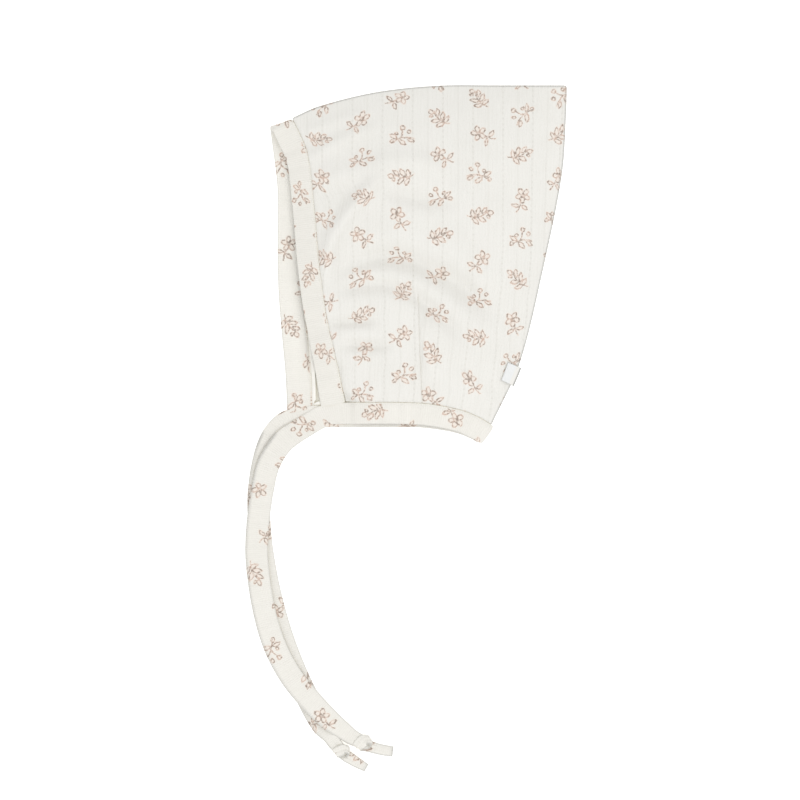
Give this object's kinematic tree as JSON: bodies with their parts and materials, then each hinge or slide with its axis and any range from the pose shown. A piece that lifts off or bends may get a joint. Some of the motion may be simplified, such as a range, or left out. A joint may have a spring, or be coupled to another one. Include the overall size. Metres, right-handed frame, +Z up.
{
  "type": "baby bonnet",
  "caption": "Pointed baby bonnet of printed ivory jersey, laid flat on its side, with banded edges and two knotted cloth ties.",
  "frame": {"origin": "middle of the lower side's flat outer face, where it rests on the table", "axes": "+X from the face opening towards the back of the head, +Y from the neck towards the crown, +Z up off the table through the bonnet's thickness"},
  "size_m": [0.1603, 0.3444, 0.0223],
  "materials": {
    "printed_jersey": "matt ivory rib jersey with a small brown-pink sprig print",
    "jersey_binding": "matt cream jersey, folded double",
    "woven_label": "blank woven ribbon"
  },
  "bodies": {
    "root": {"upper_side": "printed_jersey", "lower_side": "printed_jersey", "front_band": "jersey_binding", "neck_band": "jersey_binding", "upper_tie": "jersey_binding", "lower_tie": "jersey_binding", "label_tab": "woven_label"}
  },
  "joints": []
}
